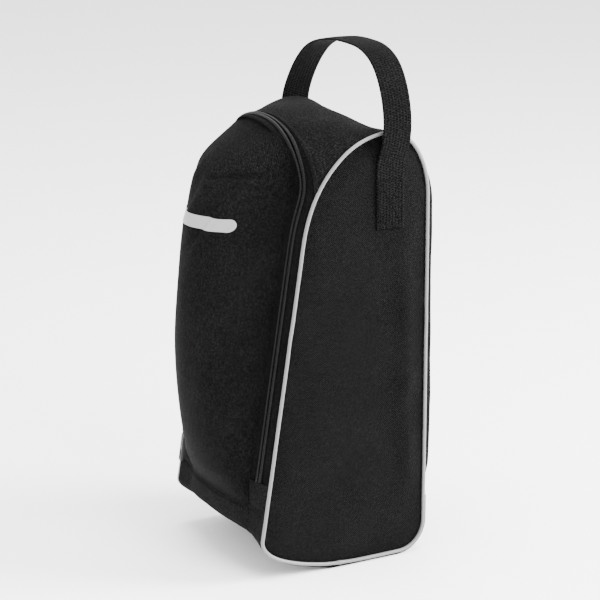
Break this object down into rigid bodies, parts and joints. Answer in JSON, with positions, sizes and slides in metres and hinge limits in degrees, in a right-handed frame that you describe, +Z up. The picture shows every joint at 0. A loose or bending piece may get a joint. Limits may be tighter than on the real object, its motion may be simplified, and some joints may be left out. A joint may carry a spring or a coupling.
{
  "type": "shoe bag",
  "caption": "Tall soft shoe bag with a leaning front door on a U-shaped zip, piped side panels, a puffed door with a plain emblem and a webbing carry loop.",
  "frame": {"origin": "on the floor, under the middle of the flat base, midway between the two piped seams", "axes": "+Z up; -Y out of the zipped door; +X to the bag's left side panel as seen facing the door from outside, which is the right of the picture"},
  "size_m": [0.1626, 0.188, 0.4092],
  "materials": {
    "side_cloth": "plain-woven matt polyester",
    "body_cloth": "plain-woven matt polyester",
    "door_cloth": "diagonal-woven polyester with a low sheen",
    "piping": "satin silver-grey",
    "filler_cord": "matt",
    "binding": "ribbed tape",
    "zip_tape": "fine herringbone tape",
    "coil": "semi-gloss nylon",
    "webbing": "ribbed webbing",
    "thread": "bonded thread",
    "silver_print": "satin silver print",
    "slider_metal": "satin grey metal",
    "pull_rubber": "matt"
  },
  "bodies": {
    "body": {"side_panel_right": "side_cloth", "side_panel_left": "side_cloth", "back_top_panel": "body_cloth", "base_panel": "body_cloth", "zip_end_tabs": "body_cloth", "piping_right": "piping", "piping_left": "piping", "piping_cord_right": "filler_cord", "piping_cord_left": "filler_cord", "seam_binding_right": "binding", "seam_binding_left": "binding", "zip_tape_outer": "zip_tape", "zip_coil_outer": "coil", "door_foot": "door_cloth", "zip_tape_inner_foot": "zip_tape", "zip_coil_inner_foot": "coil", "handle_end_right": "webbing", "handle_end_left": "webbing", "handle_stitching_right": "thread", "handle_stitching_left": "thread"},
    "door": {"door_panel": "door_cloth", "zip_tape_inner": "zip_tape", "zip_coil_inner": "coil", "door_binding": "binding", "emblem": "silver_print"},
    "slider": {"slider_body": "slider_metal", "slider_bail": "slider_metal"},
    "pull_link": {"pull_link": "slider_metal"},
    "pull_tab": {"pull_tab": "pull_rubber"},
    "handle": {"handle_loop": "webbing"}
  },
  "joints": [
    {"name": "door_open", "type": "hinge", "parent": "body", "child": "door", "pos_m": [0, -0.0976, 0.106], "axis": [1, 0, 0], "range_deg": [0, 100]},
    {"name": "slider_travel", "type": "slide", "parent": "body", "child": "slider", "axis": [0, 0.153, 0.9882], "range_m": [0, 0.15]},
    {"name": "pull_swing", "type": "hinge", "parent": "slider", "child": "pull_link", "pos_m": [-0.06148, -0.07113, 0.09391], "axis": [-0.9765, 0.2131, -0.033], "range_deg": [0, 110]},
    {"name": "pull_tab_swing", "type": "hinge", "parent": "pull_link", "child": "pull_tab", "pos_m": [-0.06148, -0.07251, 0.08502], "axis": [-0.9765, 0.2131, -0.033], "range_deg": [0, 60]},
    {"name": "handle_sway", "type": "hinge", "parent": "body", "child": "handle", "pos_m": [0, 0.04, 0.319], "axis": [1, 0, 0], "range_deg": [-35, 35], "stiffness_Nm_per_rad": 0.1}
  ]
}
